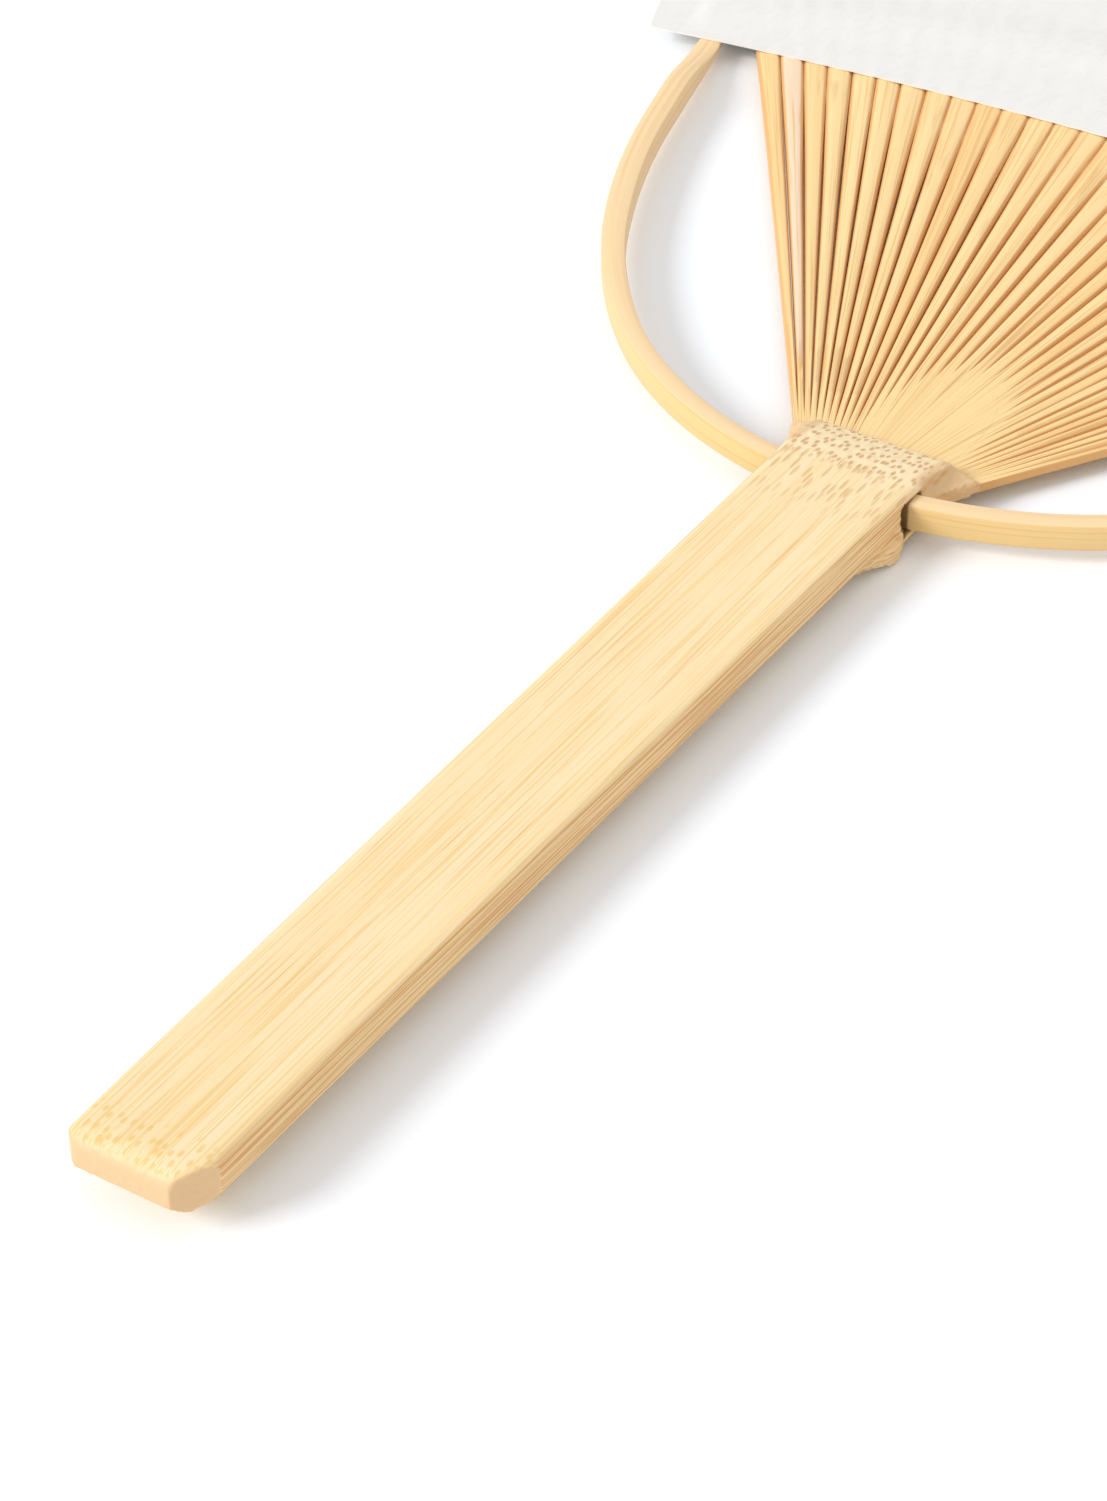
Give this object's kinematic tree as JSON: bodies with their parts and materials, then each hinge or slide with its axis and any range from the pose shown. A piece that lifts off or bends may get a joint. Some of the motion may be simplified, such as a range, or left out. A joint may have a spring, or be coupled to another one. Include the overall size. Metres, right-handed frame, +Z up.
{
  "type": "round hand fan",
  "caption": "Flat round hand fan: a split bamboo handle spreads into thin ribs under a white paper leaf, and a bamboo bow through the handle braces the leaf.",
  "frame": {"origin": "under the middle of the fan's length and width, level with the node ridge that it rests on", "axes": "+Y along the fan from the butt of the handle to the top of the leaf, +X to the right across the leaf, +Z up out of the front paper"},
  "size_m": [0.1804, 0.3598, 0.0074],
  "materials": {
    "handle_bamboo": "planed bamboo, bare, slightly silky",
    "rib_bamboo": "split bamboo, bare, matte",
    "bow_bamboo": "bamboo with its outer skin left on, faint gloss",
    "thread": "twisted cotton, matte",
    "leaf_paper": "plain white paper, matte"
  },
  "bodies": {
    "root": {"handle": "handle_bamboo", "bow": "bow_bamboo", "rib_01": "rib_bamboo", "rib_02": "rib_bamboo", "rib_03": "rib_bamboo", "rib_04": "rib_bamboo", "rib_05": "rib_bamboo", "rib_06": "rib_bamboo", "rib_07": "rib_bamboo", "rib_08": "rib_bamboo", "rib_09": "rib_bamboo", "rib_10": "rib_bamboo", "rib_11": "rib_bamboo", "rib_12": "rib_bamboo", "rib_13": "rib_bamboo", "rib_14": "rib_bamboo", "rib_15": "rib_bamboo", "rib_16": "rib_bamboo", "rib_17": "rib_bamboo", "rib_18": "rib_bamboo", "rib_19": "rib_bamboo", "rib_20": "rib_bamboo", "rib_21": "rib_bamboo", "rib_22": "rib_bamboo", "rib_23": "rib_bamboo", "rib_24": "rib_bamboo", "rib_25": "rib_bamboo", "rib_26": "rib_bamboo", "rib_27": "rib_bamboo", "rib_28": "rib_bamboo", "rib_29": "rib_bamboo", "rib_30": "rib_bamboo", "rib_31": "rib_bamboo", "rib_32": "rib_bamboo", "rib_33": "rib_bamboo", "rib_34": "rib_bamboo", "weaving_thread": "thread", "front_paper": "leaf_paper", "back_paper": "leaf_paper", "edge_binding": "leaf_paper"}
  },
  "joints": []
}
